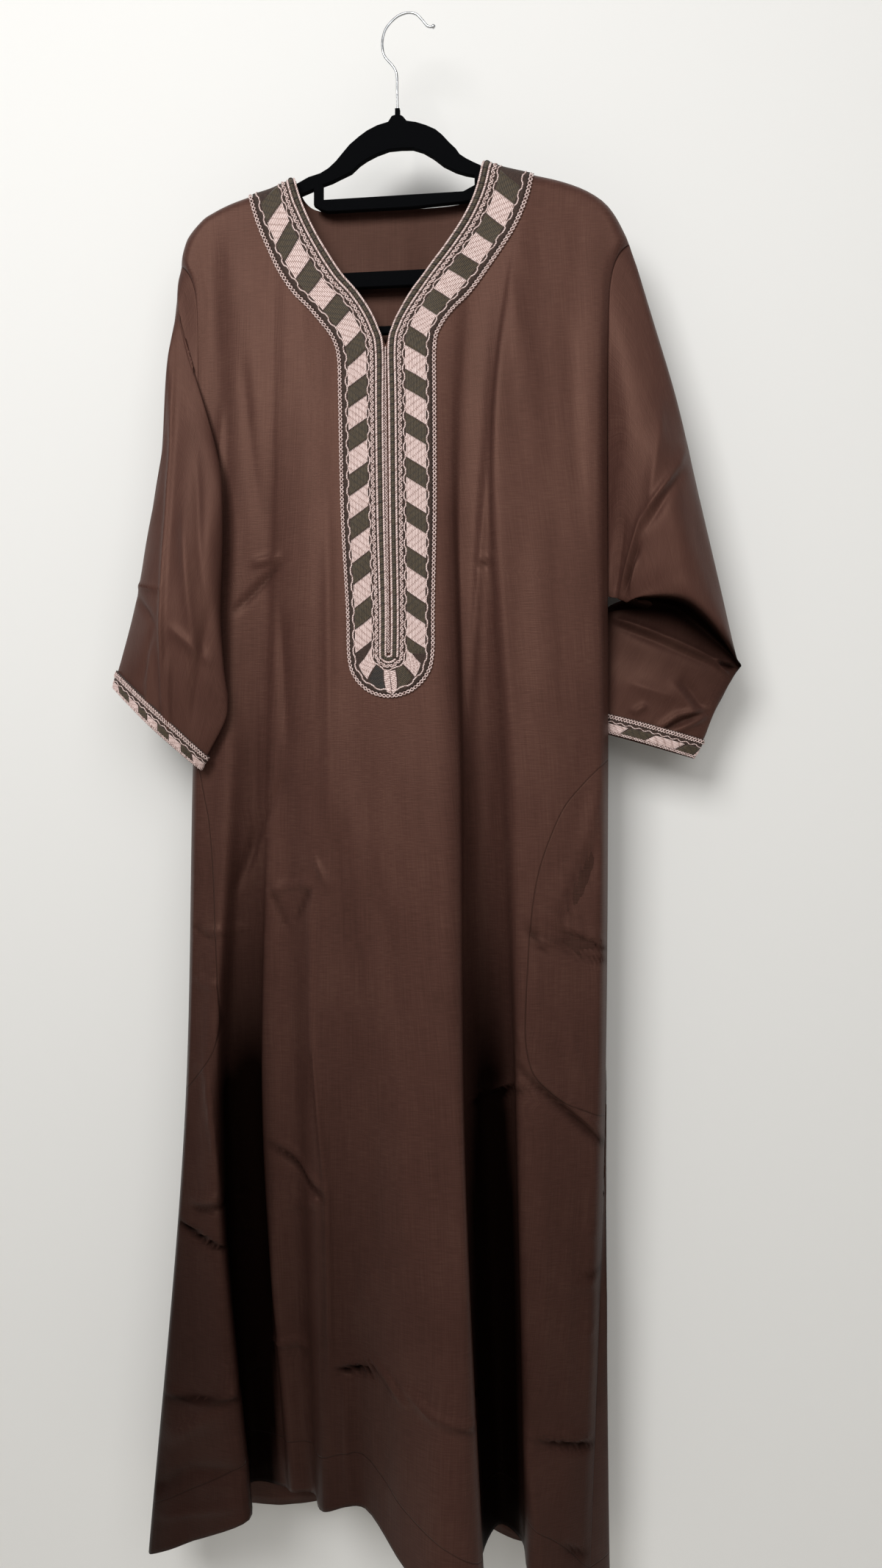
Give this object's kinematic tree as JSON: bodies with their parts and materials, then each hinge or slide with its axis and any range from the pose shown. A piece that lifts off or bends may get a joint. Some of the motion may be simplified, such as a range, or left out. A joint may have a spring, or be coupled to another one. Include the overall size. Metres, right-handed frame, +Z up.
{
  "type": "thobe on a hanger",
  "caption": "Long brown thobe with a V neck, embroidered neck band, placket and cuffs, three-quarter sleeves and side pockets, hung on a slim flocked hanger with a wire hook.",
  "frame": {"origin": "under the top of the hanger's hook, where the hook is held up", "axes": "+X to the viewer's right, +Y from the front to the back, +Z up"},
  "size_m": [0.6709, 0.1623, 1.7045],
  "materials": {
    "cloth_brown": "soft satin twill with a faint sheen",
    "band_ground": "dark olive-brown ground cloth under satin stitch in pink and olive",
    "braid_pink": "dusty pink looped cord braid",
    "hanger_flock": "black flocked plastic",
    "hook_chrome": "polished wire"
  },
  "bodies": {
    "root": {"front_panel": "cloth_brown", "back_panel": "cloth_brown", "sleeve_left": "cloth_brown", "sleeve_right": "cloth_brown", "cuff_band_left": "band_ground", "cuff_band_right": "band_ground", "neck_band": "band_ground", "braid_outer": "braid_pink", "braid_inner": "braid_pink", "braid_middle": "braid_pink", "pocket_bag_left": "cloth_brown", "pocket_bag_right": "cloth_brown", "hanger_body": "hanger_flock", "hanger_hook": "hook_chrome"}
  },
  "joints": []
}
